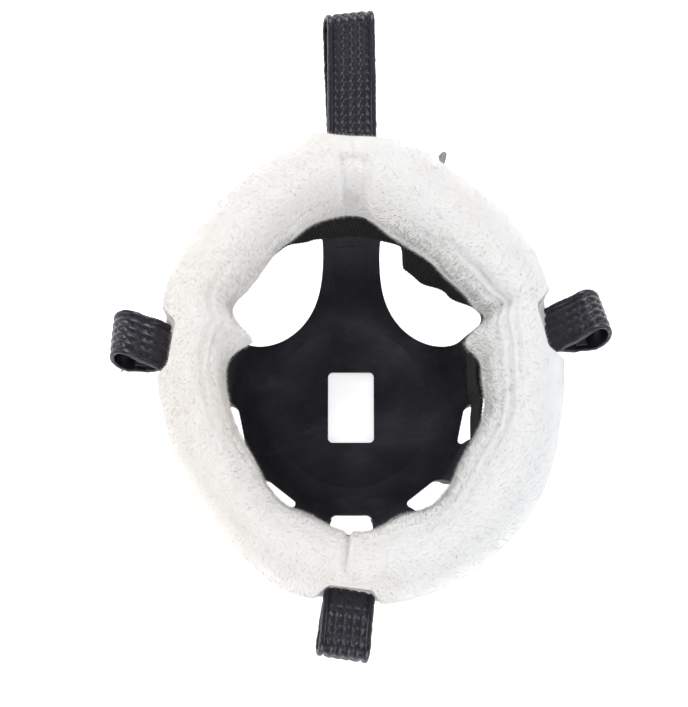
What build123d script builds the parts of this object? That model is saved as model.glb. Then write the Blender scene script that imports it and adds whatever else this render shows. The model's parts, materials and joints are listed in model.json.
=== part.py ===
from build123d import *
import math
import os

# Fleece-lined grazing muzzle, standing on its rubber base with the open end up.
# Millimetres. Origin: centre of the grass hole on the underside of the base.
# +Z up through the open end, +Y towards the nose side, +X towards the right cheek.
# Angles round the basket are in degrees from the chin (-Y), positive towards +X.

# Rubber basket
FLOOR_THICK = 3.5
WALL_THICK = 3.0
RUBBER_TOP = 90.0
GRASS_HOLE_WIDTH = 29.0
GRASS_HOLE_LENGTH = 45.0
GRASS_HOLE_CORNER = 3.0
NOTCH_WIDTH = 25.5
NOTCH_FLOOR_RADIUS = 69.0
NOTCH_CORNER = 4.0
NOTCH_REACH = 60.0
NOTCH_ANGLES = (-78, -38, 0, 38, 78)
NOSTRIL_RADIUS = 51.0
NOSTRIL_CENTRE_X = 68.0
NOSTRIL_CENTRE_Y = 86.0

# Wall surface of the cup: height, half width, half length, centre y.
# Towards the nose side it leans outward near the top.
CUP_LEVELS = (
    (0.0, 52.0, 54.0, 0.0),
    (8.0, 64.0, 66.0, 0.0),
    (25.0, 73.5, 75.5, 1.0),
    (50.0, 76.0, 83.5, 3.0),
    (72.0, 77.5, 92.5, 4.5),
    (92.0, 78.0, 97.0, 8.0),
)

# Webbing
WEB_WIDTH = 25.0
WEB_THICK = 2.0
BASKET_BAND_BOTTOM = 74.0
BAND_GAP = 1.8
STRAP_BOTTOM = 17.0
STRAPS = {
    "front_strap": 180,
    "cheek_strap_left": -99,
    "side_strap_left": -58,
    "chin_strap_left": -19,
    "chin_strap_right": 19,
    "side_strap_right": 58,
    "cheek_strap_right": 99,
}

# Nose band and the fleece roll round it. The soft ring leans a little to the right.
RING_CENTRE_X = 5.0
RING_CENTRE_Y = 8.0
NOSE_BAND_HALF_WIDTH = 92.0
NOSE_BAND_HALF_LENGTH = 111.0
NOSE_BAND_BOTTOM = 112.5
ROLL_HALF_THICK = 19.5
ROLL_HALF_HEIGHT = 27.0
ROLL_HALF_WIDTH = 112.0
ROLL_HALF_LENGTH = 131.5
ROLL_CENTRE_Z = NOSE_BAND_BOTTOM + WEB_WIDTH / 2

# Headcollar loops
LOOP_WIDTH = 28.0
COVER_THICK = 2.2
TAPE_THICK = 1.0
TAPE_WIDTH = 22.0
CLEARANCE = 0.3
LOOP_HINGE_Z = 120.0
FLAP_END = 3.0
PILE_TAPE_START = 2.0
HOOK_TAPE_START = 4.0
HOOK_TAPE_PAST_LAP = 4.0
# name: hinge x, hinge y, direction in degrees from +X, reach, fold radius, lap length
LOOPS = {
    "front_loop": (0.0, 141.2, 91.5, 70.0, 4.4, 16.0),
    "chin_loop": (-2.5, -125.4, -97, 26.5, 5.2, 6.0),
    "left_loop": (-109.3, 19.0, 169, 25.0, 7.2, 6.0),
    "right_loop": (118.4, 30.0, 15, 25.5, 7.2, 6.0),
}

# Blank label, sewn in under the roll
LABEL_THICK = 0.8
LABEL_HEIGHT = 14.0
LABEL_DEPTH = 12.0
LABEL_STAND_OUT = 4.5
LABEL_ANGLE = 158
LABEL_DROP = 8.0

# Side of a cutting block that is larger than the whole muzzle
BEYOND = 400.0


def save(name, shape):
    """Writes one named piece and prints its size."""
    export_step(shape, os.path.join("parts", name + ".step"))
    box = shape.bounding_box()
    print(f"{name:24s} solids {len(shape.solids()):2d}  volume {shape.volume / 1000:8.2f} cm3 "
          f" z {box.min.Z:6.1f} to {box.max.Z:6.1f}")


def direction(angle):
    """Unit vector away from the basket's axis, at an angle from the chin."""
    turn = math.radians(angle)
    return Vector(math.sin(turn), -math.cos(turn), 0)


def cup_face(level, grow):
    height, half_width, half_length, centre_y = level
    return Pos(0, centre_y, height) * Ellipse(half_width + grow, half_length + grow)


def collar_face(height, grow):
    outline = Ellipse(NOSE_BAND_HALF_WIDTH + grow, NOSE_BAND_HALF_LENGTH + grow)
    return Pos(RING_CENTRE_X, RING_CENTRE_Y, height) * outline


def cup(grow):
    """Solid inside the basket's wall surface, grown outward."""
    return loft([cup_face(level, grow) for level in CUP_LEVELS])


def whole_wall(grow):
    """The cup, the flare above it and the collar of the nose band."""
    flare = loft([cup_face(CUP_LEVELS[-1], grow), collar_face(NOSE_BAND_BOTTOM, grow)], ruled=True)
    collar = extrude(collar_face(NOSE_BAND_BOTTOM, grow), WEB_WIDTH)
    return cup(grow) + flare + collar


def notch(angle):
    """Upright cutter for one gap between two petals."""
    outline = RectangleRounded(NOTCH_REACH, NOTCH_WIDTH, NOTCH_CORNER)
    cutter = extrude(Pos(NOTCH_FLOOR_RADIUS + NOTCH_REACH / 2, 0, 0) * outline, BEYOND)
    return Rot(0, 0, angle - 90) * cutter


def rubber_basket():
    shell = cup(0) - Pos(0, 0, FLOOR_THICK) * cup(-WALL_THICK)
    above = Box(BEYOND, BEYOND, BEYOND, align=(Align.CENTER, Align.CENTER, Align.MIN))
    shell -= Pos(0, 0, RUBBER_TOP) * above
    for angle in NOTCH_ANGLES:
        shell -= notch(angle)
    for side in (-1, 1):
        nostril = Cylinder(NOSTRIL_RADIUS, BEYOND)
        shell -= Pos(side * NOSTRIL_CENTRE_X, NOSTRIL_CENTRE_Y, 0) * nostril
    hole = RectangleRounded(GRASS_HOLE_WIDTH, GRASS_HOLE_LENGTH, GRASS_HOLE_CORNER)
    return shell - extrude(Pos(0, 0, -FLOOR_THICK) * hole, 3 * FLOOR_THICK)


def wall_level(height):
    """Wall surface at a height near the rubber's top, on the straight line through the last two levels."""
    below, above = CUP_LEVELS[-2:]
    share = (height - below[0]) / (above[0] - below[0])
    return tuple(low + (high - low) * share for low, high in zip(below, above))


def basket_band():
    """Webbing ring that lies inside the rubber's top and leans with it."""
    ends = [wall_level(BASKET_BAND_BOTTOM), wall_level(BASKET_BAND_BOTTOM + WEB_WIDTH)]
    gap = WALL_THICK + BAND_GAP
    outer, inner = (loft([cup_face(level, -inset) for level in ends]) for inset in (gap, gap + WEB_THICK))
    return outer - inner


def nose_band():
    return extrude(collar_face(NOSE_BAND_BOTTOM, 0) - collar_face(NOSE_BAND_BOTTOM, -WEB_THICK), WEB_WIDTH)


def straps():
    """The upright webbing straps, lying on the petals and on the nose band."""
    skin = whole_wall(WEB_THICK) - whole_wall(0)
    top = NOSE_BAND_BOTTOM + WEB_WIDTH
    pieces = {}
    for name, angle in STRAPS.items():
        slab = Box(BEYOND, WEB_WIDTH, top - STRAP_BOTTOM, align=(Align.MIN, Align.CENTER, Align.MIN))
        slab = Rot(0, 0, angle - 90) * Pos(0, 0, STRAP_BOTTOM) * slab
        pieces[name] = skin & slab
    return pieces


def roll():
    """The whole fleece roll, before the bands and straps inside it are taken out."""
    path = Pos(RING_CENTRE_X, RING_CENTRE_Y, ROLL_CENTRE_Z) * Ellipse(
        ROLL_HALF_WIDTH - ROLL_HALF_THICK, ROLL_HALF_LENGTH - ROLL_HALF_THICK)
    rim = path.edges()[0]
    start = Plane(rim @ 0, x_dir=(0, 0, 1), z_dir=rim % 0)
    section = start * Ellipse(ROLL_HALF_HEIGHT, ROLL_HALF_THICK)
    return sweep(section, path=rim)


def fleece_halves(inner_pieces):
    """The roll in two halves that meet in the middle plane, hollow for what they wrap."""
    solid = roll()
    for piece in inner_pieces:
        solid -= piece
    left = solid & Box(BEYOND, BEYOND, BEYOND, align=(Align.MAX, Align.CENTER, Align.CENTER))
    right = solid & Box(BEYOND, BEYOND, BEYOND, align=(Align.MIN, Align.CENTER, Align.CENTER))
    return left, right


def loop_outline(reach, fold_radius, lap, grow):
    """Side outline of a loop: a flat lap at the root and a round fold at the outer end."""
    stack = TAPE_THICK + COVER_THICK
    fold = Pos(reach - fold_radius - stack, 0) * Circle(fold_radius + grow)
    half_lap = CLEARANCE / 2 + grow
    flat = Pos(lap / 2, 0) * Rectangle(lap, 2 * half_lap)
    return make_hull((fold + flat).edges())


def stretch(start, end):
    """Face that keeps the part of a loop's outline between two distances from its root."""
    return Pos(start, 0) * Rectangle(end - start, BEYOND, align=(Align.MIN, Align.CENTER))


def loop_pieces(reach, fold_radius, lap):
    """The four pieces of a loop, in its own frame: +X out, +Z up, hinge line through zero."""
    stack = TAPE_THICK + COVER_THICK
    cavity = loop_outline(reach, fold_radius, lap, 0)
    tape_outline = loop_outline(reach, fold_radius, lap, TAPE_THICK)
    cover_outline = loop_outline(reach, fold_radius, lap, stack)
    gap = CLEARANCE / 2
    upper = Pos(0, gap) * Rectangle(BEYOND, BEYOND, align=(Align.CENTER, Align.MIN))
    lower = Pos(0, -gap) * Rectangle(BEYOND, BEYOND, align=(Align.CENTER, Align.MAX))
    flap_part = stretch(FLAP_END, BEYOND)
    limb = stretch(PILE_TAPE_START, reach - fold_radius - stack)
    hook_limb = stretch(HOOK_TAPE_START, HOOK_TAPE_START + lap + HOOK_TAPE_PAST_LAP)
    cover_ring = cover_outline - tape_outline
    tape_ring = tape_outline - cavity
    faces = {
        "lower_cover": (cover_ring & lower, LOOP_WIDTH),
        "upper_cover": (cover_ring & upper & flap_part, LOOP_WIDTH),
        "pile_tape": (tape_ring & lower & limb, TAPE_WIDTH),
        "hook_tape": (tape_ring & upper & hook_limb, TAPE_WIDTH),
    }
    lift = gap + TAPE_THICK + COVER_THICK / 2
    side = Plane(origin=(0, 0, lift), x_dir=(1, 0, 0), z_dir=(0, -1, 0))
    solids = {}
    for name, (face, width) in faces.items():
        solids[name] = extrude(side * face, width / 2, both=True)
    return solids


def label():
    """A small blank tab standing out of the roll's outer side."""
    out = direction(LABEL_ANGLE)
    wide = ROLL_HALF_WIDTH + LABEL_STAND_OUT
    long = ROLL_HALF_LENGTH + LABEL_STAND_OUT
    reach = 1 / math.hypot(out.X / wide, out.Y / long)
    tab = Box(LABEL_DEPTH, LABEL_THICK, LABEL_HEIGHT, align=(Align.MAX, Align.CENTER, Align.CENTER))
    centre = Pos(RING_CENTRE_X, RING_CENTRE_Y, ROLL_CENTRE_Z - LABEL_DROP)
    return centre * Rot(0, 0, LABEL_ANGLE - 90) * Pos(reach, 0, 0) * tab


def main():
    os.makedirs("parts", exist_ok=True)
    save("rubber_basket", rubber_basket())
    save("basket_band", basket_band())
    band = nose_band()
    save("nose_band", band)
    strap_pieces = straps()
    for name, piece in strap_pieces.items():
        save(name, piece)
    tab = label()
    save("label", tab)
    left, right = fleece_halves([band, tab] + list(strap_pieces.values()))
    save("fleece_left", left)
    save("fleece_right", right)
    for name, (x, y, turn, reach, fold_radius, lap) in LOOPS.items():
        for piece, solid in loop_pieces(reach, fold_radius, lap).items():
            save(name + "_" + piece, Pos(x, y, LOOP_HINGE_Z) * Rot(0, 0, turn) * solid)


main()
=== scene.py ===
import bpy
import json
import math
import numpy as np
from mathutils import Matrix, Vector
from mathutils.bvhtree import BVHTree


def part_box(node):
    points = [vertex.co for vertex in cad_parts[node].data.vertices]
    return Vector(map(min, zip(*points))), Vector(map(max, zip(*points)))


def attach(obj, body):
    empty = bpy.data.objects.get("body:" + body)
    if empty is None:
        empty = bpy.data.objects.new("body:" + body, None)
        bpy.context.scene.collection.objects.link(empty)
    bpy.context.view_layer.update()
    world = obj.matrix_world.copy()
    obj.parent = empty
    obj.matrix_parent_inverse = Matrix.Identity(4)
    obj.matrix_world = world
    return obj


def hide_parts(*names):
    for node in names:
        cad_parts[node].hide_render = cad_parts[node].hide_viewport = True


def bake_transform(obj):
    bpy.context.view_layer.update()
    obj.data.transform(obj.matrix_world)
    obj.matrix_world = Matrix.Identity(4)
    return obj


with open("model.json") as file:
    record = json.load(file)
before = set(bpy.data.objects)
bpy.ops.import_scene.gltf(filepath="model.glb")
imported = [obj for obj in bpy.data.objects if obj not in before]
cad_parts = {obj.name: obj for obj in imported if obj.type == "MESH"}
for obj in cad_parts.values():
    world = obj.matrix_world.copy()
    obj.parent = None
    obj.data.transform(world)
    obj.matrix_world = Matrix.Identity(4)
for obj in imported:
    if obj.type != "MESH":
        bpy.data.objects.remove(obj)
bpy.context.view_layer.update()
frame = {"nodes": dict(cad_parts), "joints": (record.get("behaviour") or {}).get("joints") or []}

MM = 0.001
TAU = 2 * math.pi
UP = np.array([0, 0, 1])
random = np.random.default_rng(7)

# ---------------------------------------------------------------- places taken from the frame
LOOPS = ("front_loop", "chin_loop", "left_loop", "right_loop")
JOINTS = {joint["name"]: joint for joint in frame["joints"]}


def node_box(*names):
    """Lowest and highest corner of several nodes together, in metres."""
    boxes = [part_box(name) for name in names]
    low = [min(box[0][i] for box in boxes) for i in range(3)]
    high = [max(box[1][i] for box in boxes) for i in range(3)]
    return np.array(low), np.array(high)


ring_low, ring_high = node_box("fleece_left", "fleece_right")
RING_CENTRE = (ring_low + ring_high) / 2
RING_HALF_X = (ring_high[0] - ring_low[0]) / 2
RING_HALF_Y = (ring_high[1] - ring_low[1]) / 2
ROLL_HALF_HEIGHT = (ring_high[2] - ring_low[2]) / 2


# ---------------------------------------------------------------- small tools
def turn_difference(angle, other):
    """Signed difference between two angles, between -pi and pi. Works on arrays."""
    return (angle - other + math.pi) % TAU - math.pi


def bump(x, width):
    return np.exp(-((x / width) ** 2))


def smooth_step(x, low, high):
    t = np.clip((x - low) / (high - low), 0, 1)
    return t * t * (3 - 2 * t)


def soft_limit(value, limit, softness):
    """The value, bent so that it doesn't pass the limit."""
    return value - softness * np.logaddexp(0, (value - limit) / softness)


def unit(vectors):
    return vectors / np.linalg.norm(vectors, axis=-1, keepdims=True)


def level(vector):
    """Level unit vector in the direction of the given one."""
    return unit(vector * np.array([1, 1, 0]))


def left_of(out):
    """Level unit vector a quarter turn from the given one, anticlockwise from above."""
    return np.array([-out[1], out[0], 0])


def lattice_value(ix, iy, iz, seed):
    """Repeatable random value between -1 and 1 at whole-number lattice points."""
    h = (ix * 374761393 + iy * 668265263 + iz * 2147483647 + seed * 974634777) & 0xFFFFFFFF
    h = ((h ^ (h >> 13)) * 1274126177) & 0xFFFFFFFF
    return ((h ^ (h >> 16)) & 0xFFFF) / 32767.5 - 1


def noise(points, size, seed=0):
    """Smooth noise between about -1 and 1, with features of the given size in metres."""
    p = points / size
    base = np.floor(p).astype(np.int64)
    f = p - base
    f = f * f * (3 - 2 * f)
    total = np.zeros(p.shape[:-1])
    for dx in (0, 1):
        wx = f[..., 0] if dx else 1 - f[..., 0]
        for dy in (0, 1):
            wy = f[..., 1] if dy else 1 - f[..., 1]
            for dz in (0, 1):
                wz = f[..., 2] if dz else 1 - f[..., 2]
                corner = lattice_value(base[..., 0] + dx, base[..., 1] + dy, base[..., 2] + dz, seed)
                total += wx * wy * wz * corner
    return total


def make_piece(name, points, *face_groups):
    """New smooth mesh object from an array of points and arrays of faces."""
    mesh = bpy.data.meshes.new(name)
    points = np.asarray(points, np.float32).reshape(-1, 3)
    sides = np.concatenate([np.full(len(group), group.shape[1]) for group in face_groups])
    corners = np.concatenate([group.ravel() for group in face_groups]).astype(np.int32)
    starts = np.concatenate([[0], np.cumsum(sides)[:-1]]).astype(np.int32)
    mesh.vertices.add(len(points))
    mesh.vertices.foreach_set("co", points.ravel())
    mesh.loops.add(len(corners))
    mesh.loops.foreach_set("vertex_index", corners)
    mesh.polygons.add(len(sides))
    mesh.polygons.foreach_set("loop_start", starts)
    mesh.polygons.foreach_set("use_smooth", np.ones(len(sides), bool))
    mesh.update(calc_edges=True)
    mesh.validate()
    piece = bpy.data.objects.new(name, mesh)
    bpy.context.collection.objects.link(piece)
    return piece


def outward(points, faces):
    """The faces, turned round if their normals point into the closed form."""
    a, b, c = (points[faces[:, i]] for i in range(3))
    d = points[faces[:, -1]]
    volume = np.einsum("ij,ij->i", a, np.cross(b, c)).sum() + np.einsum("ij,ij->i", a, np.cross(c, d)).sum()
    return faces if volume > 0 else faces[:, ::-1]


def grid_faces(rows, columns, wrap_rows=False, wrap_columns=False):
    """Quads of a grid of points, closed on itself where asked."""
    r = np.arange(rows if wrap_rows else rows - 1)
    c = np.arange(columns if wrap_columns else columns - 1)
    r, c = (index.ravel() for index in np.meshgrid(r, c, indexing="ij"))
    r2, c2 = (r + 1) % rows, (c + 1) % columns
    return np.stack([r * columns + c, r2 * columns + c, r2 * columns + c2, r * columns + c2], 1)


def sheet_piece(name, top, bottom, closed=False):
    """Closed flat piece between two grids of points. Closed: the rows run all the way round."""
    rows, columns = top.shape[:2]
    points = np.concatenate([top, bottom[:, ::-1]], axis=1).reshape(-1, 3)
    faces = grid_faces(rows, 2 * columns, wrap_rows=closed, wrap_columns=True)
    if not closed:
        j = np.arange(columns - 1)
        cap = np.stack([j, j + 1, 2 * columns - 2 - j, 2 * columns - 1 - j], 1)
        faces = np.concatenate([faces, cap, (cap + (rows - 1) * 2 * columns)[:, ::-1]])
    return make_piece(name, points, outward(points, faces))


def grid_normals(points, closed=False):
    """Unit normals of a grid of points. Closed: the rows run all the way round."""
    if closed:
        along = np.roll(points, -1, axis=0) - np.roll(points, 1, axis=0)
    else:
        along = np.gradient(points, axis=0)
    return unit(np.cross(along, np.gradient(points, axis=1)))


def finish_piece(piece, body, slot, material, *nodes):
    """Gives a piece its material, its body and the CAD nodes it stands for."""
    piece.data.materials.append(material)
    if body:
        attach(piece, body)
    if nodes:
        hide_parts(*nodes)


# Rings of one stitch: place along its length, share of its radius, and height in radii
STITCH_RINGS = ((-0.5, 0.35, -0.5), (-0.3, 1.0, 0.1), (0.3, 1.0, 0.1), (0.5, 0.35, -0.5))
STITCH_SIDES = 6


def stitches(name, body, centres, along, normals, length=2.8 * MM, radius=0.3 * MM):
    """Short thread stitches, each a rounded six-sided bead sunk at both ends."""
    along, normals = unit(along), unit(normals)
    side = np.cross(along, normals)
    points = []
    for at, thick, rise in STITCH_RINGS:
        middle = centres + along * at * length + normals * rise * radius
        for turn in np.arange(STITCH_SIDES) / STITCH_SIDES * TAU:
            points.append(middle + (side * math.cos(turn) + normals * math.sin(turn)) * thick * radius)
    points = np.stack(points, 1)
    sides = grid_faces(len(STITCH_RINGS), STITCH_SIDES, wrap_columns=True)
    corners = np.arange(STITCH_SIDES)
    caps = np.array([corners[::-1], corners + (len(STITCH_RINGS) - 1) * STITCH_SIDES])
    if outward(points[0], sides)[0, 0] != sides[0, 0]:
        sides, caps = sides[:, ::-1], caps[:, ::-1]
    first = (np.arange(len(centres)) * points.shape[1])[:, None, None]
    piece = make_piece(name, points, (first + sides).reshape(-1, 4), (first + caps).reshape(-1, STITCH_SIDES))
    finish_piece(piece, body, "thread", THREAD)


# ---------------------------------------------------------------- materials
class Nodes:
    """Short way to write a material's node tree."""

    def __init__(self, name):
        self.material = bpy.data.materials.new(name)
        self.material.use_nodes = True
        self.tree = self.material.node_tree
        self.shader = self.tree.nodes["Principled BSDF"]
        self.place = self.tree.nodes.new("ShaderNodeTexCoord").outputs["Object"]

    def link(self, source, target):
        self.tree.links.new(source, target)

    def set(self, **values):
        """Sets the shader's own sockets, named with underscores for spaces."""
        for name, value in values.items():
            self.shader.inputs[name.replace("_", " ")].default_value = value

    def noise(self, scale, detail=3.0, roughness=0.55, stretch=None):
        node = self.tree.nodes.new("ShaderNodeTexNoise")
        node.inputs["Scale"].default_value = scale
        node.inputs["Detail"].default_value = detail
        node.inputs["Roughness"].default_value = roughness
        self.link(self.stretched(stretch), node.inputs["Vector"])
        return node.outputs["Fac"]

    def cells(self, scale, stretch=None, feature="F1"):
        node = self.tree.nodes.new("ShaderNodeTexVoronoi")
        node.feature = feature
        node.inputs["Scale"].default_value = scale
        self.link(self.stretched(stretch), node.inputs["Vector"])
        return node.outputs["Distance"]

    def stretched(self, stretch):
        if stretch is None:
            return self.place
        node = self.tree.nodes.new("ShaderNodeMapping")
        node.inputs["Scale"].default_value = stretch
        self.link(self.place, node.inputs["Vector"])
        return node.outputs["Vector"]

    def ramp(self, factor, *stops):
        """Colours at positions, as (position, grey or colour) pairs."""
        node = self.tree.nodes.new("ShaderNodeValToRGB")
        while len(node.color_ramp.elements) < len(stops):
            node.color_ramp.elements.new(0.5)
        for element, (position, colour) in zip(node.color_ramp.elements, stops):
            element.position = position
            if isinstance(colour, float):
                colour = (colour, colour, colour)
            element.color = (*colour, 1)
        self.link(factor, node.inputs["Fac"])
        return node.outputs["Color"]

    def mix(self, kind, factor, first, second):
        node = self.tree.nodes.new("ShaderNodeMix")
        node.data_type = "RGBA"
        node.blend_type = kind
        for socket, value in ((node.inputs[0], factor), (node.inputs[6], first), (node.inputs[7], second)):
            if hasattr(value, "links"):
                self.link(value, socket)
            else:
                socket.default_value = value
        return node.outputs[2]

    def bump(self, height, strength, distance):
        node = self.tree.nodes.new("ShaderNodeBump")
        node.inputs["Strength"].default_value = strength
        node.inputs["Distance"].default_value = distance
        self.link(height, node.inputs["Height"])
        previous = self.shader.inputs["Normal"].links
        if previous:
            self.link(previous[0].from_socket, node.inputs["Normal"])
        self.link(node.outputs["Normal"], self.shader.inputs["Normal"])

    def colour(self, source):
        self.link(source, self.shader.inputs["Base Color"])

    def roughness(self, source):
        self.link(source, self.shader.inputs["Roughness"])


def fleece_material(name, scatter, glow):
    """Glow stands in for the light that comes through fine fibres."""
    n = Nodes(name)
    n.set(Emission_Strength=glow, Emission_Color=(1, 0.98, 0.96, 1), Specular_IOR_Level=0.1)
    n.set(Subsurface_Weight=scatter, Subsurface_Scale=2 * MM, Subsurface_Radius=(1.0, 0.95, 0.9))
    # Painted light: the roll warmer and a little brighter to the left, cooler and greyer to the right, as the
    # side lamps fall on it
    across = n.tree.nodes.new("ShaderNodeSeparateXYZ")
    n.link(n.place, across.inputs[0])
    side = n.tree.nodes.new("ShaderNodeMapRange")
    side.inputs["From Min"].default_value = float(ring_low[0])
    side.inputs["From Max"].default_value = float(ring_high[0])
    n.link(across.outputs["X"], side.inputs["Value"])
    painted_side_light = n.ramp(side.outputs["Result"], (0.1, (0.855, 0.832, 0.808)), (0.75, (0.82, 0.818, 0.818)))
    aged = n.ramp(n.noise(11, 3), (0.45, (1.0, 1.0, 1.0)), (0.75, (0.98, 0.955, 0.925)))
    tufts = n.ramp(n.noise(420, 3, 0.6), (0.3, 0.975), (0.6, 1.0))
    n.colour(n.mix("MULTIPLY", 1.0, n.mix("MULTIPLY", 1.0, painted_side_light, aged), tufts))
    n.roughness(n.ramp(n.noise(500, 2), (0.3, 0.85), (0.7, 1.0)))
    n.bump(n.noise(700, 4, 0.6), 0.06, 0.0004)
    n.bump(n.noise(2200, 2, 0.6), 0.2, 0.0002)
    return n.material


def rubber_material():
    n = Nodes("moulded_rubber")
    n.set(Specular_IOR_Level=0.36, Specular_Tint=(0.93, 0.9, 1.0, 1))
    base = n.ramp(n.noise(26, 4), (0.35, (0.008, 0.0077, 0.0102)), (0.65, (0.024, 0.0232, 0.03)))
    # Lighter bluish blotches: painted sheen, with some powdery bloom
    sheen_and_bloom = n.ramp(n.noise(13, 5, 0.7, stretch=(1.0, 2.2, 1.0)), (0.5, 0.0), (0.72, 0.8))
    base = n.mix("MIX", sheen_and_bloom, base, (0.052, 0.051, 0.066, 1))
    specks = n.ramp(n.noise(1100, 2, 0.4), (0.735, 0.0), (0.77, 1.0))
    dust = n.mix("MULTIPLY", 1.0, specks, (0.4, 0.4, 0.4, 1))
    n.colour(n.mix("MIX", dust, base, (0.14, 0.145, 0.15, 1)))
    scuffs = n.noise(240, 5, 0.7, stretch=(1.0, 3.5, 1.0))
    n.roughness(n.ramp(scuffs, (0.3, 0.5), (0.7, 0.68)))
    n.bump(n.noise(900, 4, 0.6), 0.25, 0.00025)
    n.bump(n.noise(45, 3), 0.35, 0.0012)
    return n.material


def webbing_material():
    n = Nodes("polyester_webbing")
    n.set(Sheen_Weight=0.05, Sheen_Roughness=0.5, Specular_IOR_Level=0.25)
    n.colour(n.ramp(n.noise(700, 3), (0.3, (0.004, 0.004, 0.0045)), (0.7, (0.01, 0.01, 0.011))))
    n.roughness(n.ramp(n.noise(900, 2), (0.3, 0.62), (0.7, 0.86)))
    n.bump(n.noise(2600, 3, 0.7), 0.5, 0.0003)
    return n.material


def cover_material():
    n = Nodes("embossed_cover")
    n.set(Specular_IOR_Level=0.5, Specular_Tint=(0.9, 0.87, 1.0, 1))
    n.set(Coat_Weight=0.3, Coat_Roughness=0.25, Coat_Tint=(0.93, 0.9, 1.0, 1))
    n.colour(n.ramp(n.noise(160, 4), (0.3, (0.004, 0.0038, 0.0052)), (0.7, (0.0085, 0.008, 0.011))))
    n.roughness(n.ramp(n.noise(420, 4, 0.65), (0.3, 0.3), (0.7, 0.5)))
    n.bump(n.cells(1400), 0.1, 0.0003)
    n.bump(n.noise(600, 4), 0.08, 0.0004)
    return n.material


def tape_material(name, scale, roughness):
    n = Nodes(name)
    n.set(Sheen_Weight=0.2, Sheen_Roughness=0.6)
    n.colour(n.ramp(n.cells(scale), (0.1, (0.03, 0.03, 0.033)), (0.6, (0.005, 0.005, 0.006))))
    n.roughness(n.ramp(n.noise(900, 2), (0.3, roughness), (0.7, min(1.0, roughness + 0.15))))
    n.bump(n.cells(scale), 0.9, 0.0006)
    return n.material


def thread_material():
    n = Nodes("bonded_thread")
    n.set(Specular_IOR_Level=0.4)
    n.colour(n.ramp(n.noise(1800, 2), (0.3, (0.006, 0.006, 0.007)), (0.7, (0.016, 0.016, 0.018))))
    n.roughness(n.ramp(n.noise(2500, 2), (0.3, 0.45), (0.7, 0.65)))
    n.bump(n.noise(3200, 2), 0.4, 0.0002)
    return n.material


def label_material():
    n = Nodes("woven_label")
    n.colour(n.ramp(n.noise(1500, 2, stretch=(1, 1, 6)), (0.3, (0.2, 0.2, 0.22)), (0.7, (0.3, 0.3, 0.33))))
    n.roughness(n.ramp(n.noise(800, 2), (0.3, 0.6), (0.7, 0.8)))
    n.bump(n.noise(2600, 2, stretch=(1, 1, 5)), 0.4, 0.0002)
    return n.material


def floor_material():
    n = Nodes("pale_floor")
    n.set(Specular_IOR_Level=0.1, Roughness=0.9, Emission_Color=(1, 1, 1, 1), Emission_Strength=0.62)
    n.colour(n.ramp(n.noise(3, 2), (0.3, 0.93), (0.7, 0.96)))
    return n.material


FLEECE = fleece_material("fleece_pile", 0.25, 0.0)
FIBRES = fleece_material("pile_fibres", 0.0, 0.2)
RUBBER = rubber_material()
WEBBING = webbing_material()
COVER = cover_material()
PILE_TAPE = tape_material("loop_pile_tape", 900, 0.8)
HOOK_TAPE = tape_material("hook_tape", 1250, 0.45)
THREAD = thread_material()
LABEL = label_material()

# ---------------------------------------------------------------- fleece roll
# How the edges of the soft ring depart from plain ellipses, seen from above: angle and spread in degrees,
# how far out in millimetres
OUTER_LIE = ((60, 15, -5.6), (101, 6, 4.4), (158, 20, 3.4), (-132, 17, -1.8), (-108, 8, 3.0),
             (-76, 9, 1.2), (-44, 32, 5.0))
INNER_LIE = ((68, 20, -15.0), (44, 12, -8.2), (22, 4.5, 7.5), (20, 14, -5.5), (80, 8, -3.0),
             (102, 12, -3.8), (117, 6, -2.4), (128, 16, -4.2), (156, 8, 4.0), (165, 4, -4.0),
             (-174, 18, 1.6), (-138, 12, -2.0), (-122, 9, 1.0), (-108, 8, -3.2), (-76, 9, -5.6),
             (-42, 16, -5.6), (-4, 14, -5.6))
# How thick the roll is from its outer edge to its inner one, before the lie is added
ROLL_WIDTH_X = 39 * MM
ROLL_WIDTH_Y = 39.5 * MM
# Power that squares the section's ellipse a little
SECTION_POWER = 0.92
# Soft bulges at the ends of the cheek straps: angle round the ring, its spread, height in millimetres
CHEEK_BULGES = ((13, 8, 9.5), (167, 7, 9.5))
# Long soft folds on the inner wall: angle round the ring and its spread, place and width on the section,
# all in degrees, and depth in millimetres
FOLDS = ((-12, 44, 122, 5, 2.0), (-44, 36, 141, 6, 2.0), (33, 17, 126, 5, 2.6), (26, 15, 143, 5, 1.8),
         (8, 14, 108, 5, 1.4), (-72, 24, 128, 6, 1.3), (60, 16, 138, 5, 1.4), (192, 24, 122, 6, 1.0),
         (160, 14, 118, 6, 1.5), (176, 12, 140, 5, 1.3), (216, 22, 146, 6, 0.8), (118, 20, 150, 6, 0.8))
# How far each loop's upper end lies in over the roll, from its root, in millimetres
LAID_IN = {"front_loop": 2.5, "chin_loop": 10.4, "left_loop": 10.5, "right_loop": 14.5}
FIBRES_PER_QUARTER = 26000
# Share of the fibres that stand along the inner edge, where the section is at this tilt in degrees
INNER_EDGE_SHARE = 0.16
INNER_EDGE_TILT = 172


def bumps(angle, waves):
    """Sum of soft bumps round the ring, in the units of their heights."""
    total = np.zeros_like(angle)
    for middle, spread, out in waves:
        total += out * bump(turn_difference(angle, math.radians(middle)), math.radians(spread))
    return total


def ellipse_radius(angle, half_x, half_y):
    return 1 / np.hypot(np.cos(angle) / half_x, np.sin(angle) / half_y)


def outer_radius(angle):
    """Outer edge of the roll, seen from above."""
    return ellipse_radius(angle, RING_HALF_X, RING_HALF_Y) + bumps(angle, OUTER_LIE) * MM


def inner_radius(angle):
    """Inner edge of the roll, seen from above."""
    plain = ellipse_radius(angle, RING_HALF_X - ROLL_WIDTH_X, RING_HALF_Y - ROLL_WIDTH_Y)
    return plain + bumps(angle, INNER_LIE) * MM


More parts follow.
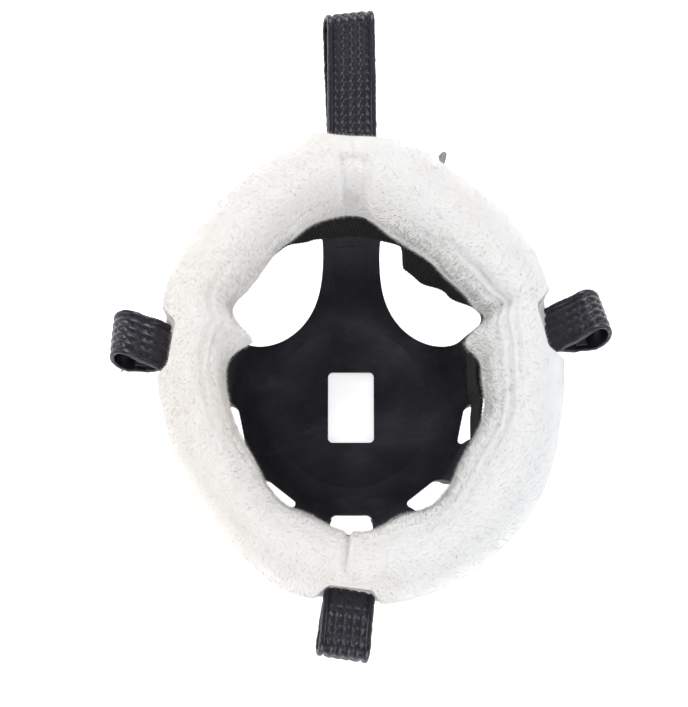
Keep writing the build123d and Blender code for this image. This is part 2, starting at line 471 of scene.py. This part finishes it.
def cheek(angle, tilt):
    """The two soft bulges low on the inner wall, at the ends of the cheek straps."""
    low = bump(tilt - math.radians(196), math.radians(34))
    return bumps(angle, CHEEK_BULGES) * low * MM


def creases(angle, tilt, points):
    """Depth of the long folds, which wander a little up and down."""
    wander = math.radians(9) * noise(points, 40 * MM, 11)
    depth = np.zeros_like(angle)
    for middle, spread, at, width, deep in FOLDS:
        along = bump(turn_difference(angle, math.radians(middle)), math.radians(spread))
        depth += deep * along * bump(tilt + wander - math.radians(at), math.radians(width))
    return depth * MM


def seams(angle, tilt):
    """The sewn-down panel at the nose side and the seam at the chin."""
    nose_arc = turn_difference(angle, math.pi / 2) * RING_HALF_Y - RING_CENTRE[0]
    inside = smooth_step(tilt, math.radians(72), math.radians(88))
    inside = inside * (0.15 + 0.85 * smooth_step(tilt, math.radians(190), math.radians(150)))
    panel = smooth_step(np.abs(nose_arc), 10.5 * MM, 7 * MM)
    depth = (3.0 * panel + 1.5 * bump(np.abs(nose_arc) - 9.4 * MM, 2.2 * MM)) * inside
    depth += 1.0 * bump(tilt - math.radians(84), math.radians(7)) * panel
    chin_arc = turn_difference(angle, -math.pi / 2) * RING_HALF_Y + RING_CENTRE[0]
    depth += 3.2 * bump(chin_arc + 5 * MM, 2.6 * MM) * smooth_step(tilt, math.radians(50), math.radians(110))
    return depth * MM


def tuck_under_loops(points):
    """Draws the roll in where a loop's upper end lies on it."""
    for name in LOOPS:
        root, out, side = loop_frame(name)
        u = (points - root) @ out
        w = np.abs((points - root) @ side)
        above = smooth_step(points[..., 2], root[2] - 4 * MM, root[2] + 5 * MM)
        limit = -(LAID_IN[name] + 1.2) * MM + 22 * MM * smooth_step(w, 10 * MM, 29 * MM)
        drawn = soft_limit(u, limit, 1.0 * MM) - u
        points = points + out * (drawn * above)[..., None]
    return points


def fleece_surface(angle, tilt):
    """Points of the roll. Angle runs round the ring; tilt runs round the section, 90 degrees up."""
    outer, inner = outer_radius(angle), inner_radius(angle)
    middle, half = (outer + inner) / 2, (outer - inner) / 2
    across, up = np.cos(tilt), np.sin(tilt)
    radial = half * np.sign(across) * np.abs(across) ** SECTION_POWER + 4.5 * MM * np.minimum(up, 0)
    height = ROLL_HALF_HEIGHT * np.sign(up) * np.abs(up) ** SECTION_POWER
    direction = np.stack([np.cos(angle), np.sin(angle), np.zeros_like(angle)], -1)
    base = RING_CENTRE + direction * (middle + radial)[..., None]
    base[..., 2] += height
    away = direction * across[..., None]
    away[..., 2] += up
    lumps = 1.1 * noise(base, 27 * MM, 1) + 0.55 * noise(base, 11 * MM, 2)
    tufts = 0.09 * noise(base, 5.2 * MM, 3) + 0.03 * noise(base, 2.4 * MM, 4)
    tufts = tufts + 0.03 * noise(base, 1.3 * MM, 5)
    push = cheek(angle, tilt) - creases(angle, tilt, base) - seams(angle, tilt) + (lumps + tufts - 1.7) * MM
    return tuck_under_loops(base + away * push[..., None])


def fleece_half(name, start, end, node):
    """One half of the roll, closed at its seam ends."""
    rows, columns = 460, 208
    step = (end - start) / (rows - 1)
    angle = np.linspace(start - step, end + step, rows + 2)
    tilt = np.arange(columns) / columns * TAU
    angle, tilt = np.meshgrid(angle, tilt, indexing="ij")
    points = fleece_surface(angle, tilt)
    along = points[2:] - points[:-2]
    points = points[1:-1]
    around = np.roll(points, -1, axis=1) - np.roll(points, 1, axis=1)
    normals = unit(np.cross(along, around)).reshape(-1, 3)
    end_normals = unit(np.stack([-along[0].mean(axis=0), along[-1].mean(axis=0)]))
    ends = points[[0, -1]].mean(axis=1)
    points = np.concatenate([points.reshape(-1, 3), ends])
    faces = outward(points, grid_faces(rows, columns, wrap_columns=True))
    ring = np.arange(columns)
    after = (ring + 1) % columns
    hub = np.full(columns, rows * columns)
    last = (rows - 1) * columns
    start_cap = np.stack([ring, after, hub], 1)
    end_cap = np.stack([after + last, ring + last, hub + 1], 1)
    piece = make_piece(name, points, faces, np.concatenate([start_cap, end_cap]))
    piece.data.normals_split_custom_set_from_vertices(np.concatenate([normals, end_normals]))
    finish_piece(piece, "muzzle", "fleece", FLEECE, node)


def pile_fibres(name, start, end):
    """Short fibres lying over the pile in tufts, each a three-sided spike."""
    count = FIBRES_PER_QUARTER
    angle = random.uniform(start, end, count)
    tilt = random.uniform(0, TAU, count)
    inner_edge = random.random(count) < INNER_EDGE_SHARE
    tilt[inner_edge] = random.normal(math.radians(INNER_EDGE_TILT), math.radians(20), inner_edge.sum())
    root = fleece_surface(angle, tilt)
    along = unit(fleece_surface(angle + 0.006, tilt) - root)
    around = fleece_surface(angle, tilt + 0.03) - root
    normal = unit(np.cross(along, around))
    around = np.cross(normal, along)
    swirl = 1.0 * noise(root, 20 * MM, 21) + 1.6 * noise(root, 34 * MM, 22) + random.normal(0, 0.5, count)
    lay = along * np.cos(swirl)[:, None] + around * np.sin(swirl)[:, None]
    lift = (0.25 + 0.5 * random.random(count))[:, None]
    grow = unit(normal * lift + lay * (1 - lift) + UP * 0.3 * inner_edge[:, None])
    length = (1.7 + 1.3 * random.random(count) + 0.5 * noise(root, 5 * MM, 23))[:, None] * MM
    wide = (0.04 + 0.03 * random.random(count) + 0.05 * inner_edge)[:, None] * MM
    side = unit(np.cross(grow, normal))
    base = root - normal * 0.4 * MM
    back = np.cross(side, grow)
    points = np.stack([base - side * wide, base + side * wide, base + back * wide, base + grow * length], 1)
    first = np.arange(count)[:, None] * points.shape[1]
    spike = ([0, 1, 3], [1, 2, 3], [2, 0, 3], [0, 2, 1])
    piece = make_piece(name, points, np.concatenate([first + np.array(face) for face in spike]))
    lit_from_above = unit(normal + UP * 0.7)
    piece.data.normals_split_custom_set_from_vertices(np.repeat(lit_from_above, points.shape[1], axis=0))
    finish_piece(piece, "muzzle", "fleece", FIBRES)


def fleece():
    """Both halves of the roll and the fibres over it, a quarter at a time."""
    seam_shift = math.atan2(RING_CENTRE[0], RING_HALF_Y)
    chin = -math.pi / 2 - seam_shift
    nose = math.pi / 2 + seam_shift
    fleece_half("fleece_pile_right", chin, nose, "fleece_right")
    fleece_half("fleece_pile_left", nose, chin + TAU, "fleece_left")
    stops = [chin, (chin + nose) / 2, nose, (nose + chin + TAU) / 2, chin + TAU]
    names = ("right_chin", "right_nose", "left_nose", "left_chin")
    for name, start, end in zip(names, stops[:-1], stops[1:]):
        pile_fibres("pile_fibres_" + name, start, end)


# ---------------------------------------------------------------- headcollar loops
COVER_THICK = 2.2 * MM
TAPE_THICK = 1.0 * MM
STACK = COVER_THICK + TAPE_THICK
LOOP_HALF_WIDTH = 14 * MM
# How the soft strips lie. The fold and the root run askew, as slopes across the width. DRAWN is the
# length against the CAD's, ROLL the turn about the loop's own length in degrees, and BOW the limbs' bulge
# in millimetres.
SKEW = {"front_loop": -0.17, "chin_loop": 0.04, "left_loop": -0.18, "right_loop": 0.06}
ROOT_SKEW = {"front_loop": 0.0, "chin_loop": 0.0, "left_loop": -0.08, "right_loop": 0.14}
DRAWN = {"front_loop": 1.03, "chin_loop": 0.99, "left_loop": 0.97, "right_loop": 0.92}
ROLL = {"front_loop": 12, "chin_loop": -8, "left_loop": 25, "right_loop": -31}
BOW = {"front_loop": 1.2, "chin_loop": 2.2, "left_loop": 2.2, "right_loop": 1.8}
# The cover's face: pits along and across, and the groove that marks off the plain borders
EMBOSS_PITCH = 4.7 * MM
EMBOSS_SPACING = 4.8 * MM
GROOVE_PLACE = 10.3 * MM
COVER_COLUMNS = 90
ROW_LENGTH = 0.38 * MM
STITCH_LINE = 12 * MM
# Where a cover's stretches begin and end on its path; cover_grid says what the places mean
LOWER_ROOT, FOLD_START, FOLD_END, UPPER_ROOT = -1, -0.5, 0.5, 1


def fold_tip(name):
    """Point on the hinge line at the outer end of a loop."""
    return np.array(JOINTS[name.replace("_loop", "_flap") + "_open"]["pos_m"])


def loop_frame(name):
    """Root point on the hinge line and the unit vectors out and sideways."""
    root = np.array(JOINTS[name + "_swing"]["pos_m"])
    out = level(fold_tip(name) - root)
    return root, out, left_of(out)


def embossing(s, w):
    """Height of the cover's face: flat borders, a groove, and pitted ridges between."""
    across = np.abs(w)
    ridge = 0.5 + 0.5 * np.cos(TAU * (w / EMBOSS_SPACING - 0.5))
    column = np.floor(w / EMBOSS_SPACING + 0.5)
    from_column = w - column * EMBOSS_SPACING
    row = np.floor(s / EMBOSS_PITCH)
    from_row = s - (row + 0.5) * EMBOSS_PITCH
    pit = np.clip(1 - np.abs(from_row) / (2.3 * MM) - np.abs(from_column) / (2.1 * MM), 0, 1)
    deep = np.where((row + column) % 2 == 0, 0.9, 0.65)
    field = 0.2 + 0.4 * ridge - deep * pit
    border = 0.45 - 0.5 * smooth_step(across, 13.2 * MM, LOOP_HALF_WIDTH)
    groove = -0.75 * bump(across - GROOVE_PLACE, 0.55 * MM)
    height = np.where(across < GROOVE_PLACE, field, border)
    return (height * (1 - bump(across - GROOVE_PLACE, 0.8 * MM)) + groove) * MM


def cover_grid(name, start, end, along, across, half_width=LOOP_HALF_WIDTH):
    """Middle surface of a cover strip between two places on its path, as root-frame points.

    The path is a straight limb, a round fold and a straight limb. Places run from -1 at the lower
    root through -0.5 and 0.5, where the fold begins and ends, to 1 at the upper root."""
    root, out, side = loop_frame(name)
    tip = fold_tip(name)
    reach = np.linalg.norm(tip[:2] - root[:2])
    middle = tip[2] - root[2]
    radius = tip[2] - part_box(name + "_lower_cover")[0][2] - COVER_THICK / 2
    centre = reach - radius - COVER_THICK / 2
    half_lap = 0.15 * MM + TAPE_THICK + COVER_THICK / 2
    slope = math.asin((radius - half_lap) / centre)
    inner = -6 * MM if start < 0 else -LAID_IN[name] * MM
    place = np.linspace(start, end, along)
    turn = math.pi / 2 + slope
    bend = np.clip(place * 2, -1, 1) * turn
    u = centre + radius * np.cos(bend)
    z = radius * np.sin(bend)
    limb = np.clip(np.abs(place) * 2 - 1, 0, 1)
    limb_u = (centre + radius * math.cos(turn)) * (1 - limb) + inner * limb
    limb_z = radius * math.sin(turn) + (limb_u - centre - radius * math.cos(turn)) * math.tan(slope)
    limb_z += BOW[name] * MM * np.sin(math.pi * limb) ** 2
    straight = np.abs(place) > FOLD_END
    u = np.where(straight, limb_u, u)
    z = np.where(straight, limb_z * np.sign(place), z)
    w = np.linspace(-1, 1, across) * half_width
    u, w = np.meshgrid(u, w, indexing="ij")
    z = np.broadcast_to(z[:, None], u.shape)
    roll = math.radians(ROLL[name]) * (0.5 + 0.5 * smooth_step(u, 0, reach))
    sideways = w * np.cos(roll) - z * np.sin(roll)
    height = w * np.sin(roll) + z * np.cos(roll)
    far = np.clip(u / reach, 0, 1)
    u = u * np.where(u > 0, DRAWN[name], 1) + w * (SKEW[name] * far + ROOT_SKEW[name] * (1 - far))
    return root + out * u[..., None] + side * sideways[..., None] + UP * (height + middle)[..., None], w


def facing_out(name, points):
    """Unit normals of a strip, turned away from the hollow of the loop."""
    root, out, _ = loop_frame(name)
    normal = grid_normals(points)
    inside = root + out * ((points.mean(axis=(0, 1)) - root) @ out * 0.5)
    inside[2] = fold_tip(name)[2]
    return normal if np.einsum("ijk,ijk->ij", normal, points - inside).mean() > 0 else -normal


def tape_strip(name, node, side_of_lap, body, material):
    """A tape sewn to the inner face of a cover, as long and as wide as the CAD one."""
    root, out, side = loop_frame(name)
    tape = np.array([v.co for v in frame["nodes"][node].data.vertices]) - root
    samples = 200
    places = np.linspace(FOLD_END, UPPER_ROOT, samples)
    line = (cover_grid(name, FOLD_END, UPPER_ROOT, samples, 3)[0][:, 1] - root) @ out
    far, near = np.interp(-np.array([(tape @ out).max(), (tape @ out).min()]), -line, places)
    half_width = np.abs(tape @ side).max()
    points, _ = cover_grid(name, far * side_of_lap, near * side_of_lap, 60, 24, half_width)
    normal = facing_out(name, points)
    middle = points - normal * STACK / 2
    fuzz = (0.12 * MM * noise(points, 1.1 * MM, 33))[..., None]
    half = TAPE_THICK / 2
    piece = sheet_piece(node + "_strip", middle + normal * half, middle - normal * (half + fuzz))
    finish_piece(piece, body, node[len(name) + 1:], material, node)


def cover_strip(name, part, start, end, nodes, body):
    """One stretch of a loop's cover, embossed on its outer face. A stretch that rides a body is stitched."""
    side = loop_frame(name)[2]
    rough, _ = cover_grid(name, start, end, 60, 3)
    run = np.linalg.norm(np.diff(rough[:, 1], axis=0), axis=1).sum()
    rows = max(24, int(run / ROW_LENGTH))
    points, w = cover_grid(name, start, end, rows, COVER_COLUMNS)
    step = np.linalg.norm(np.diff(points[:, COVER_COLUMNS // 2], axis=0), axis=1)
    s = np.concatenate([[0], np.cumsum(step)])[:, None] + (start - LOWER_ROOT) * 40 * EMBOSS_PITCH
    normal = facing_out(name, points)
    edge = np.clip((np.abs(w) - 13.1 * MM) / (0.9 * MM), 0, 1)
    half = (COVER_THICK / 2) * np.sqrt(1 - 0.92 * edge ** 2)
    near_edge = np.sign(w) * smooth_step(np.abs(w), 11 * MM, LOOP_HALF_WIDTH)
    ragged = side * (near_edge * 0.22 * MM * noise(points, 1.6 * MM, 31))[..., None]
    height = embossing(np.broadcast_to(s, w.shape), w) + 0.06 * MM * noise(points, 3 * MM, 32)
    raised = half + np.maximum(height, -COVER_THICK * 0.6) * (1 - edge)
    top = points + ragged + normal * raised[..., None]
    bottom = points + ragged - normal * half[..., None]
    piece = sheet_piece(name + part, top, bottom)
    finish_piece(piece, body, "cover", COVER, *nodes)
    if body:
        edge_stitching(name + part, body, top, normal)
    return piece


def edge_stitching(name, body, top, normal):
    """A row of stitches along each long edge of a cover."""
    picked = np.arange(6, len(top) - 5, 12)
    for edge_side, label in ((-1, "_edge_stitching_1"), (1, "_edge_stitching_2")):
        across = (edge_side * STITCH_LINE / LOOP_HALF_WIDTH + 1) / 2
        column = int(round(across * (COVER_COLUMNS - 1)))
        centres = top[picked, column] + normal[picked, column] * 0.05 * MM
        along = top[picked + 1, column] - top[picked - 1, column]
        stitches(name + label, body, centres, along, normal[picked, column], 3.1 * MM, 0.28 * MM)


def headcollar_loop(name):
    """Both limbs and tapes of a loop, and the round fold between them."""
    flap = name.replace("_loop", "_flap")
    cover_strip(name, "_lower_limb", LOWER_ROOT, FOLD_START, [name + "_lower_cover"], name)
    cover_strip(name, "_upper_limb", FOLD_END, UPPER_ROOT, [name + "_upper_cover"], flap)
    tape_strip(name, name + "_pile_tape", -1, name, PILE_TAPE)
    tape_strip(name, name + "_hook_tape", 1, flap, HOOK_TAPE)
    fold = cover_strip(name, "_fold", FOLD_START, FOLD_END, [], None)
    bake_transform(fold)


# ---------------------------------------------------------------- webbing
WEB_THICK = 2.0 * MM
RIB_PITCH = 2.0 * MM
# Half the width of a strap's webbing, in millimetres
WEB_EDGE = 12.2
# How the basket band hangs, slack towards the right nostril: angle in degrees, then how far out of the
# CAD ring its lower and its upper edge lie, in millimetres. Where it lies out it runs into the rubber.
BAND_LIE = ((-180, 4, 5), (-90, 2, 2), (-55, 6, 6), (-35, 6, 6), (-14, 0, 3), (-2, -3, -1),
            (12, -2.5, 0), (28, 12.5, 12), (43, 0, 9), (57, -8.4, 6), (65, -8.4, 5), (70.5, 2.8, 4),
            (80, 1.5, 1), (97, 1.5, 0), (106, 4, 4), (116, 8, 9), (145, 9, 10), (180, 4, 5))
BAND_ROWS = 1560
BAND_COLUMNS = 26
# Where the straps stand, in degrees from the chin, positive towards the right cheek
STRAP_ANGLES = {"front_strap": 180, "cheek_strap_left": -99, "side_strap_left": -58, "chin_strap_left": -19,
                "chin_strap_right": 19, "side_strap_right": 58, "cheek_strap_right": 99}
# A distance from the middle that is outside everything, and one that is inside the petals
FAR_OUTSIDE = 300 * MM
WELL_INSIDE = 20 * MM


def ribs(s):
    """Height of the webbing's face along its length."""
    return (0.6 * np.sqrt(np.abs(np.cos(math.pi * s / RIB_PITCH))) - 0.4) * MM


def band_edge(height):
    """Centre and half sizes of the CAD band's outer face at one of its edges."""
    mesh = frame["nodes"]["basket_band"].data
    points = np.array([v.co for v in mesh.vertices])
    edge = points[np.abs(points[:, 2] - height) < 0.5 * MM]
    low, high = edge.min(axis=0), edge.max(axis=0)
    return (low + high) / 2, (high - low) / 2


def hang(angle, column):
    """Smooth run through one column of the band's lie."""
    stops = np.radians([stop[0] for stop in BAND_LIE])
    out = np.array([stop[column] for stop in BAND_LIE])
    angle = turn_difference(angle, 0)
    after = np.clip(np.searchsorted(stops, angle), 1, len(stops) - 1)
    share = smooth_step((angle - stops[after - 1]) / (stops[after] - stops[after - 1]), 0, 1)
    return (out[after - 1] * (1 - share) + out[after] * share) * MM


def basket_band():
    """Ribbed webbing ring at the top of the rubber. Drop runs from its upper edge to its lower one."""
    low, high = node_box("basket_band")
    centre_low, half_low = band_edge(low[2])
    centre_high, half_high = band_edge(high[2])
    turn = np.arange(BAND_ROWS) / BAND_ROWS * TAU
    angle, drop = np.meshgrid(turn, np.linspace(0, 1, BAND_COLUMNS), indexing="ij")
    radius_low = ellipse_radius(angle, half_low[0], half_low[1]) + hang(angle, 1)
    radius_high = ellipse_radius(angle, half_high[0], half_high[1]) + hang(angle, 2)
    radius = radius_high + (radius_low - radius_high) * drop - WEB_THICK / 2
    centre = centre_high + (centre_low - centre_high) * drop[..., None]
    points = centre + np.stack([radius * np.cos(angle), radius * np.sin(angle), np.zeros_like(radius)], -1)
    run = np.cumsum(np.linalg.norm(np.roll(points, -1, axis=0) - points, axis=2), axis=0)
    s = run / run[-1] * np.round(run[-1].mean() / RIB_PITCH) * RIB_PITCH
    selvedge = smooth_step(drop, 0.06, 0) - smooth_step(drop, 0.94, 1)
    points[..., 2] += 0.3 * MM * np.cos(TAU * s / RIB_PITCH) * selvedge
    normal = grid_normals(points, closed=True)
    thick = WEB_THICK / 2 * (1 - 0.45 * np.abs(selvedge))
    offset = normal * (thick + ribs(s))[..., None]
    piece = sheet_piece("basket_band_webbing", points + offset, points - offset, closed=True)
    finish_piece(piece, "muzzle", "webbing", WEBBING, "basket_band")


def tree_of(node):
    """Search tree of a CAD node's surface."""
    mesh = frame["nodes"][node].data
    return BVHTree.FromPolygons([v.co for v in mesh.vertices], [p.vertices for p in mesh.polygons])


def strap_webbing(node):
    """Ribbed webbing over the outer face of an upright strap. Says which way the strap faces."""
    low, high = node_box(node)
    turn = math.radians(STRAP_ANGLES[node])
    out = np.array([math.sin(turn), -math.cos(turn), 0])
    side = left_of(out)
    tree = tree_of(node)

    def face(z, w):
        start = out * FAR_OUTSIDE + side * w + UP * z
        return tree.ray_cast(Vector(start), Vector(-out))[0]

    levels = np.linspace(low[2] + 0.1 * MM, high[2] - 0.1 * MM, 500)
    spine = np.array([face(z, 0) for z in levels])
    run = np.concatenate([[0], np.cumsum(np.linalg.norm(np.diff(spine, axis=0), axis=1))])
    s = np.arange(0, run[-1], 0.42 * MM)
    heights = np.interp(s, run, levels)
    widths = np.linspace(-WEB_EDGE, WEB_EDGE, 26) * MM
    points = np.zeros((len(s), len(widths), 3))
    for i, z in enumerate(heights):
        for j, w in enumerate(widths):
            hit = face(z, w)
            points[i, j] = hit if hit is not None else points[i - 1, j]
    normal = grid_normals(points)
    if (normal @ out).mean() < 0:
        normal = -normal
    edge = smooth_step(np.abs(widths), 11.3 * MM, WEB_EDGE * MM)[None, :]
    rib = ribs(np.broadcast_to(s[:, None], points.shape[:2]))
    top = points + normal * (rib - 0.5 * MM * edge)[..., None]
    bottom = points - normal * (WEB_THICK - 0.2 * MM - 0.5 * MM * edge)[..., None]
    finish_piece(sheet_piece(node + "_webbing", top, bottom), "muzzle", "webbing", WEBBING, node)
    return out, side, tree


# ---------------------------------------------------------------- box stitches
# Half width of a sewn box, and its lowest and highest stitches on a petal and on the front arm
SEWN_HALF_WIDTH = 9.5 * MM
PETAL_SEWN = (30 * MM, 62 * MM)
ARM_SEWN = (24 * MM, 66 * MM)
STITCH_PITCH = 3.4 * MM


def box_stitch(name, tree, out, side, bottom, top, inside):
    """A stitched rectangle on the face of a petal. Inside: on the face towards the axis."""
    half = SEWN_HALF_WIDTH
    spots = []
    for w in np.arange(-half + STITCH_PITCH / 2, half, STITCH_PITCH):
        spots += [(w, bottom, side), (w, top, side)]
    for z in np.arange(bottom + STITCH_PITCH / 2, top, STITCH_PITCH):
        spots += [(-half, z, None), (half, z, None)]
    centres, along, normals = [], [], []
    for w, z, direction in spots:
        start = side * w + UP * z + out * (WELL_INSIDE if inside else FAR_OUTSIDE)
        hit, normal, _, _ = tree.ray_cast(Vector(start), Vector(out if inside else -out))
        if hit is None:
            continue
        normal = np.array(normal)
        up = unit(UP - normal * normal[2])
        centres.append(np.array(hit))
        normals.append(normal)
        along.append(up if direction is None else side)
    stitches(name, "muzzle", np.array(centres), np.array(along), np.array(normals))


def straps():
    """Every upright strap, and the stitches through it and the rubber."""
    rubber_tree = tree_of("rubber_basket")
    for name in STRAP_ANGLES:
        out, side, strap_tree = strap_webbing(name)
        bottom, top = ARM_SEWN if name == "front_strap" else PETAL_SEWN
        box_stitch(name + "_stitching_inside", rubber_tree, out, side, bottom, top, inside=True)
        box_stitch(name + "_stitching_outside", strap_tree, out, side, bottom, top, inside=False)


# ---------------------------------------------------------------- label and loose threads
THREAD_ENDS = 7
# Corners of loops that fray: how far out of and beside the loop's root, in millimetres
FRAYED = (("front_loop", -3, -13.6), ("left_loop", 15, 15.5))


def label_tab():
    """A blank tab, gently curled, that narrows to its outer end."""
    low, high = node_box("label")
    middle = (low + high) / 2
    out = level(middle - RING_CENTRE)
    side = left_of(out)
    far = np.linspace(0, 1, 22)
    rise = np.linspace(-1, 1, 26)
    far, rise = np.meshgrid(far, rise, indexing="ij")
    reach = (-7 + 13.5 * far) * (1 - 0.28 * far * rise ** 2)
    sway = 2.6 * far ** 2 - 1.9 * rise * far
    height = rise * 7 * (1 - 0.25 * far ** 3)
    points = middle + (out * reach[..., None] + side * sway[..., None]) * MM
    points[..., 2] += height * MM
    normal = grid_normals(points) * 0.4 * MM
    piece = sheet_piece("label_tab", points + normal, points - normal)
    finish_piece(piece, "muzzle", "label", LABEL, "label")


def loose_threads(name, place, out, side, body):
    """A few frayed thread ends that curl out of a loop's corner."""
    rings, corners = 9, 4
    points, faces = [], []
    for number in range(THREAD_ENDS):
        outwards = random.normal(0.1, 0.6)
        sideways = 0.4 + random.random()
        upwards = random.normal(0, 0.4)
        heading = unit(out * outwards + side * sideways + UP * upwards)
        curl = unit(random.normal(0, 1, 3))
        length = (2.2 + 3 * random.random()) * MM
        along = np.linspace(0, 1, rings)
        spine = np.array([place + (heading * t + curl * 0.35 * t * t) * length for t in along])
        direction = np.gradient(spine, axis=0)
        across = unit(np.cross(direction, curl + heading * 0.2 + 0.01))
        upright = unit(np.cross(direction, across))
        thick = np.linspace(0.16, 0.07, rings)[:, None] * MM
        turns = np.arange(corners) / corners * TAU
        ring = [spine + (across * math.cos(t) + upright * math.sin(t)) * thick for t in turns]
        faces.append(grid_faces(rings, corners, wrap_columns=True) + number * rings * corners)
        points.append(np.stack(ring, 1).reshape(-1, 3))
    piece = make_piece(name, np.concatenate(points), np.concatenate(faces))
    finish_piece(piece, body, "thread", THREAD)


def frayed_corners():
    for name, out_by, side_by in FRAYED:
        root, out, side = loop_frame(name)
        corner = root + (out * out_by + side * side_by - UP * 2) * MM
        loose_threads(name + "_threads", corner, out, side * math.copysign(1, side_by), name)


# ---------------------------------------------------------------- carried-over nodes
# Material of the CAD nodes by a part of their name; the rest are webbing
NODE_FINISHES = {"cover": COVER, "pile_tape": PILE_TAPE, "hook_tape": HOOK_TAPE, "fleece": FLEECE,
                 "rubber_basket": RUBBER, "label": LABEL}


def carried_over_nodes():
    for node_name, node in frame["nodes"].items():
        finishes = [finish for part, finish in NODE_FINISHES.items() if part in node_name]
        node.data.materials.clear()
        node.data.materials.append(finishes[0] if finishes else WEBBING)


# ---------------------------------------------------------------- floor, light and camera
CAMERA_HEIGHT = 930 * MM
CAMERA_BACK = 120 * MM
AIM_HEIGHT = 130 * MM
AIM_SIDE = -4.4 * MM
AIM_FORWARD = 13.4 * MM
# Lens and sensor in millimetres, as Blender takes them
LENS = 75.1
SENSOR = 36
# Soft lights: name, place in metres, power in watts, colour
LIGHTS = (("key", (0.15, 1.15, 0.95), 9.8, (1, 1, 1)),
          ("left", (-1.15, 0.1, 0.85), 8.3, (1.0, 0.98, 0.955)),
          ("right", (1.15, 0.0, 0.85), 6, (0.96, 0.98, 1.0)),
          ("front", (0.1, -1.15, 0.75), 7, (1, 1, 1)))
LIGHT_SIZE = 0.8
LIGHT_TARGET = (0, 0, 0.08)


def aimed(thing, place, target):
    """Puts a light or camera in its place, turned towards its target."""
    thing.location = place
    thing.rotation_euler = (Vector(target) - Vector(place)).to_track_quat("-Z", "Y").to_euler()
    bpy.context.collection.objects.link(thing)


def soft_box(name, place, power, colour):
    light = bpy.data.lights.new(name, "AREA")
    light.shape = "DISK"
    light.size = LIGHT_SIZE
    light.energy = power
    light.color = colour
    aimed(bpy.data.objects.new(name, light), place, LIGHT_TARGET)


def studio():
    bpy.context.scene.view_settings.view_transform = "Standard"
    bpy.ops.mesh.primitive_grid_add(x_subdivisions=4, y_subdivisions=4, size=8)
    floor = bpy.context.object
    floor.name = "floor"
    floor.data.materials.append(floor_material())
    for light in LIGHTS:
        soft_box(*light)
    world = bpy.data.worlds.new("studio")
    bpy.context.scene.world = world
    world.use_nodes = True
    background = world.node_tree.nodes["Background"]
    background.inputs["Color"].default_value = (0.95, 0.97, 1.0, 1)
    background.inputs["Strength"].default_value = 0.33


def camera():
    lens = bpy.data.cameras.new("camera")
    lens.lens = LENS
    lens.sensor_width = SENSOR
    view = bpy.data.objects.new("camera", lens)
    aimed(view, (AIM_SIDE, -CAMERA_BACK, CAMERA_HEIGHT), (AIM_SIDE, AIM_FORWARD, AIM_HEIGHT))
    bpy.context.scene.camera = view


# ---------------------------------------------------------------- everything together
fleece()
for loop_name in LOOPS:
    headcollar_loop(loop_name)
basket_band()
straps()
label_tab()
frayed_corners()
carried_over_nodes()
studio()
camera()
